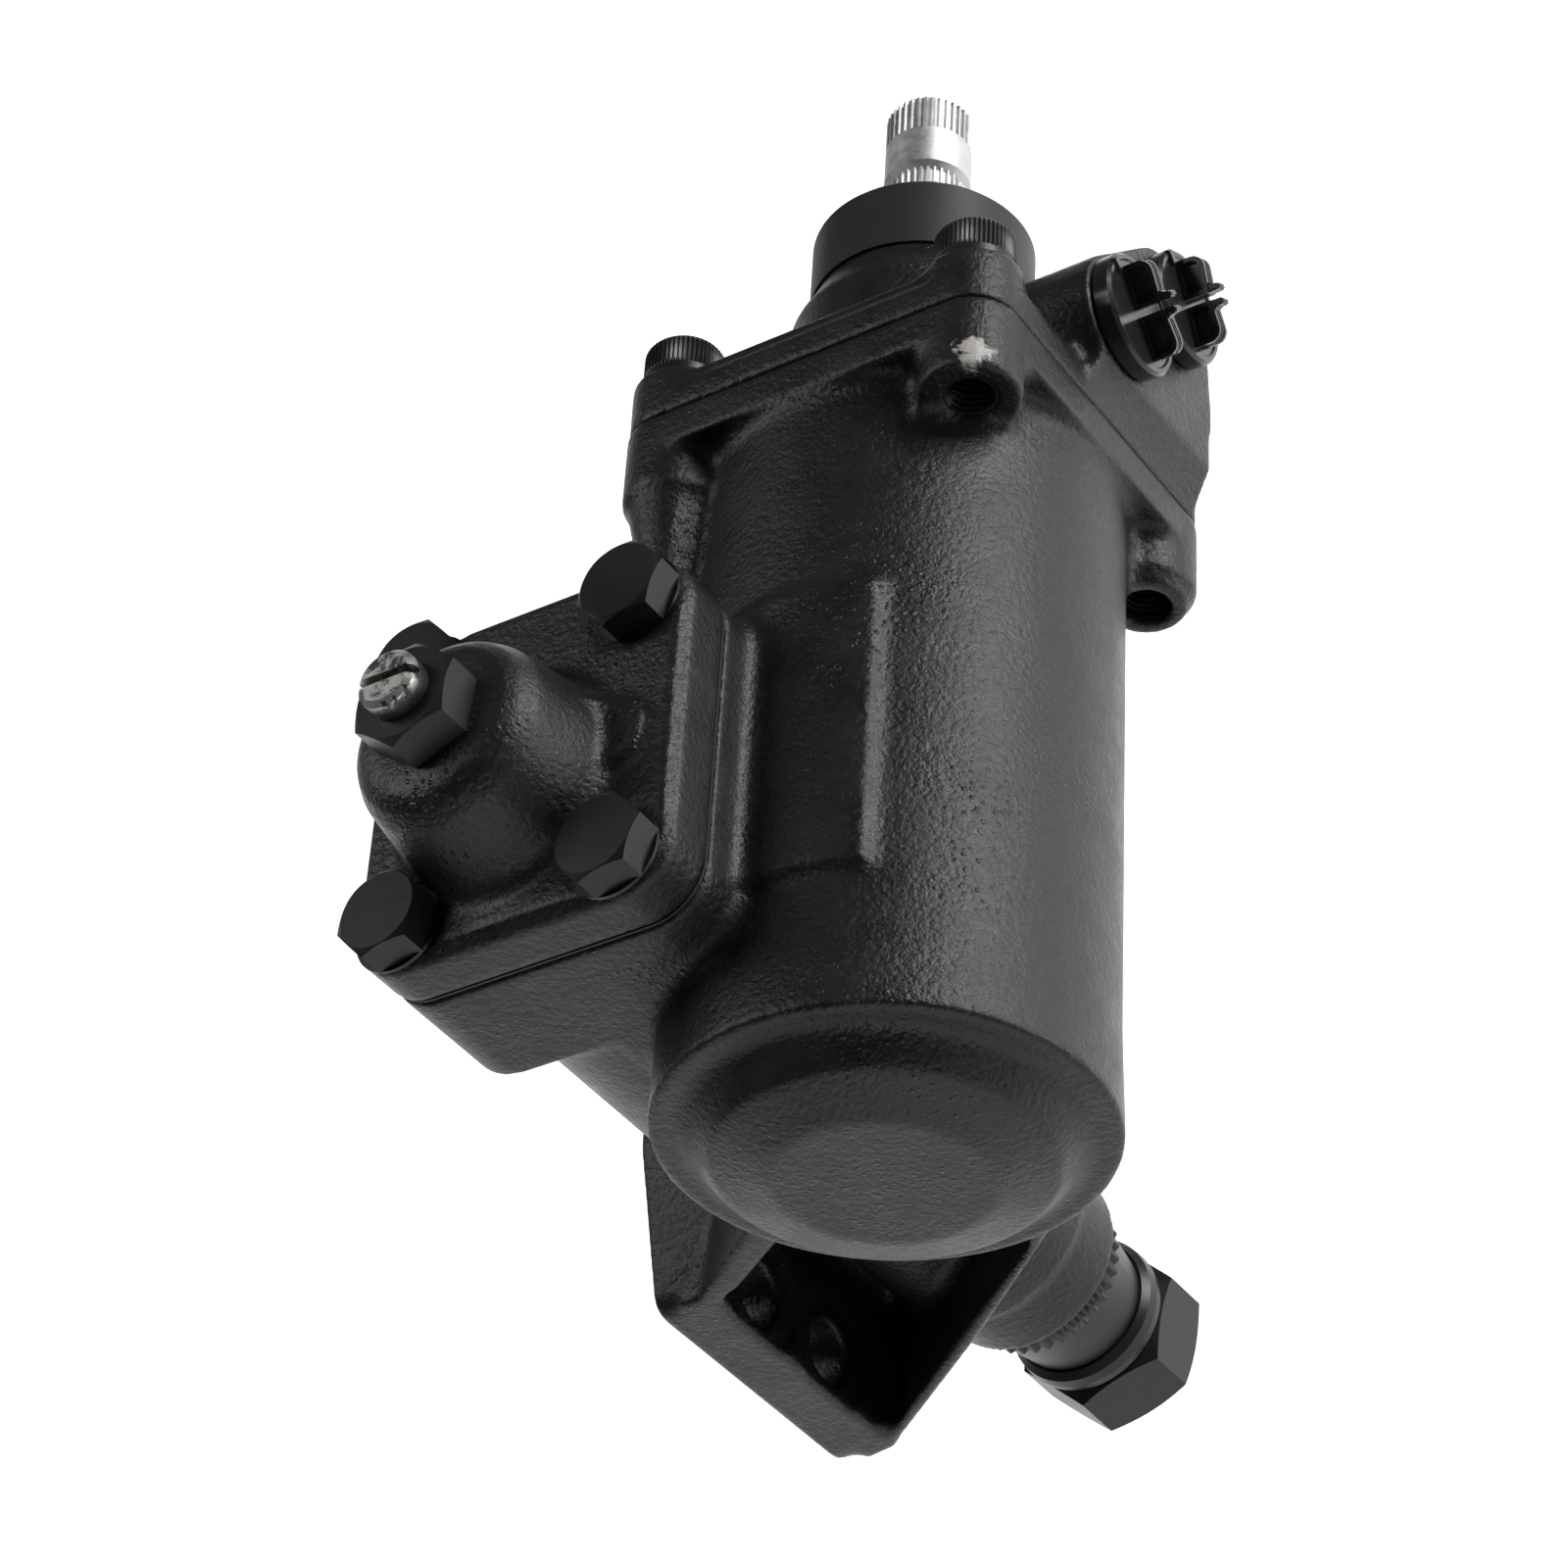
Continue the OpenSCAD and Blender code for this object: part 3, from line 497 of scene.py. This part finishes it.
# ---------------------------------------------------------------- threads seen in the lugs

LUG_BOTTOM = 83.4        # along Y
THREAD_START = LUG_BOTTOM + 0.4
THREAD_END = 92.0
THREAD_PITCH = 1.5
THREAD_CREST = 4.35
THREAD_DEPTH = 0.62
THREAD_OUTSIDE = 5.6


def lug_thread():
    """The tapped wall of a hole: a tube whose inside climbs as a thread."""
    steps = 48
    rows = 6
    turns = (THREAD_END - LUG_BOTTOM) / THREAD_PITCH
    bm = bmesh.new()

    def ring(height, radius_at):
        angles = [2 * math.pi * i / steps for i in range(steps)]
        return [bm.verts.new((r * math.cos(a) * MM, r * math.sin(a) * MM, height * MM))
                for a, r in zip(angles, map(radius_at, range(steps)))]

    grid = []
    count = int(turns * rows)
    for j in range(count + 1):
        height = THREAD_START + (THREAD_END - THREAD_START) * j / count

        def thread(i):
            phase = (height / THREAD_PITCH - i / steps) % 1
            return THREAD_CREST + THREAD_DEPTH * abs(2 * phase - 1)

        grid.append(ring(height, thread))
    grid.append(ring(THREAD_END, lambda i: THREAD_OUTSIDE))
    grid.append(ring(THREAD_START, lambda i: THREAD_OUTSIDE))
    grid.append(grid[0])
    for low, high in zip(grid, grid[1:]):
        for i in range(steps):
            j = (i + 1) % steps
            bm.faces.new((low[i], low[j], high[j], high[i]))
    return bm


add_piece("lug_threads", mesh_from("lug_threads", [
    (lug_thread(), along("Y", (x, 0, z))) for x, z in EARS], 60), "smooth", "housing")


# ---------------------------------------------------------------- moulded port plugs

def fin(outline, thickness):
    """A flat plate with an outline in local X and Z, centred on local Y, with eased edges."""
    bm = bmesh.new()
    half = thickness / 2 * MM
    front = [bm.verts.new((x * MM, -half, z * MM)) for x, z in outline]
    back = [bm.verts.new((x * MM, half, z * MM)) for x, z in outline]
    bm.faces.new(front)
    bm.faces.new(list(reversed(back)))
    for i in range(len(outline)):
        j = (i + 1) % len(outline)
        bm.faces.new((front[j], front[i], back[i], back[j]))
    bmesh.ops.recalc_face_normals(bm, faces=bm.faces)
    bmesh.ops.bevel(bm, geom=bm.edges, offset=0.3 * MM, segments=2, affect="EDGES", clamp_overlap=True)
    return bm


def rim(outline, across, up, thickness):
    """A closed border along an outline in local X and Z; its window is the outline shrunk across and up."""
    middle_x = (min(x for x, z in outline) + max(x for x, z in outline)) / 2
    middle_z = (min(z for x, z in outline) + max(z for x, z in outline)) / 2
    window = [(middle_x + (x - middle_x) * across, middle_z + (z - middle_z) * up) for x, z in outline]
    bm = bmesh.new()
    rows = [[bm.verts.new((x * MM, side * thickness / 2 * MM, z * MM)) for x, z in loop]
            for loop, side in ((outline, -1), (outline, 1), (window, 1), (window, -1))]
    count = len(outline)
    for row, after in zip(rows, rows[1:] + rows[:1]):
        for i in range(count):
            j = (i + 1) % count
            bm.faces.new((row[i], row[j], after[j], after[i]))
    bmesh.ops.recalc_face_normals(bm, faces=bm.faces)
    sharp = [e for e in bm.edges if e.calc_face_angle(0) > 0.9]
    bmesh.ops.bevel(bm, geom=sharp, offset=0.14 * MM, segments=2, affect="EDGES", clamp_overlap=True)
    return bm


STEM_R = 7.7
STEM_LENGTH = 11
DISC_H = 4.3
LOBE_GAP = 0.8           # from the plug's axis to a lobe
LOBE_CORNER = 2.4
TAB_W = 2.2


def disc(disc_r):
    """The plug's stem and its disc with a raised rim."""
    well = DISC_H - 0.4
    return lathe([(STEM_R, -STEM_LENGTH), (STEM_R, 0.05), (disc_r - 0.5, 0.05), (disc_r, 0.6),
                  (disc_r, DISC_H - 0.7), (disc_r - 0.6, DISC_H), (disc_r - 1.4, DISC_H), (disc_r - 1.7, well),
                  (3, well)], 96)


def lobe_outline(reach, low, top):
    """Half of the pull handle in local X and Z, with its outer corner rounded."""
    corner = LOBE_CORNER
    arc = [(reach - corner + corner * math.cos(a), top - corner + corner * math.sin(a))
           for a in [math.radians(d) for d in (22, 45, 68, 90)]]
    crown = ((LOBE_GAP + reach - corner) / 2, top - 0.15)
    return [(LOBE_GAP, low), (reach, low), (reach, top - corner), *arc, crown, (LOBE_GAP, top - 0.4)]


def tip_outline(top, tip):
    """The small curled tip at the inner end of a lobe, in local X and Z."""
    return [(LOBE_GAP, top - 1.2), (LOBE_GAP + 2.6, top - 0.8), (LOBE_GAP + 1.4, top + 0.5),
            (LOBE_GAP + 1.5, tip - 0.5), (LOBE_GAP + 0.9, tip), (LOBE_GAP + 0.1, tip - 0.3)]


def plug(disc_r, height, turn):
    """Shipping plug: stem, rimmed disc, and a pull handle of two windowed lobes with a slot and two tips."""
    parts = [(disc(disc_r), Matrix())]
    tip = height - 0.05
    top = tip - 2.2
    lobe = lobe_outline(disc_r - 3.0, DISC_H - 0.6, top)
    for side in range(2):
        spin = Matrix.Rotation(turn + side * math.pi, 4, "Z")
        parts.append((fin(lobe, 0.9), spin))
        for face in (-1, 1):
            beside = Matrix.Translation((0, face * 1.25 * MM, 0))
            parts.append((rim(lobe, 0.78, 0.66, 1.2), spin @ beside))
        parts.append((fin(tip_outline(top, tip), 2.9), spin))
    inner = disc_r - 3.2
    outer = disc_r - 0.05
    tab = [(inner, 2.2), (outer, 2.2), (outer, DISC_H + 0.5), (inner, DISC_H + 0.5)]
    parts.append((fin(tab, TAB_W), Matrix.Rotation(turn + 0.35 + math.pi, 4, "Z")))
    return parts


PLUGS = (("pressure_port_plug", "pressure_plug", -0.83), ("return_port_plug", "return_plug", -1.06))
for node, name, turn in PLUGS:
    low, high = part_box(node)
    middle = Vector((0, (low[1] + high[1]) / 2, (low[2] + high[2]) / 2))
    disc_r = (high[1] - low[1]) / 2 / MM
    face = low[0] / MM + STEM_LENGTH
    height = high[0] / MM - face
    place = along("X", (face * MM, middle.y, middle.z))
    add_piece(name, mesh_from(name, [(bm, place @ m) for bm, m in plug(disc_r, height, turn)]),
              "plug", "housing", [node])

view = bpy.context.scene.view_settings
view.view_transform = "Standard"
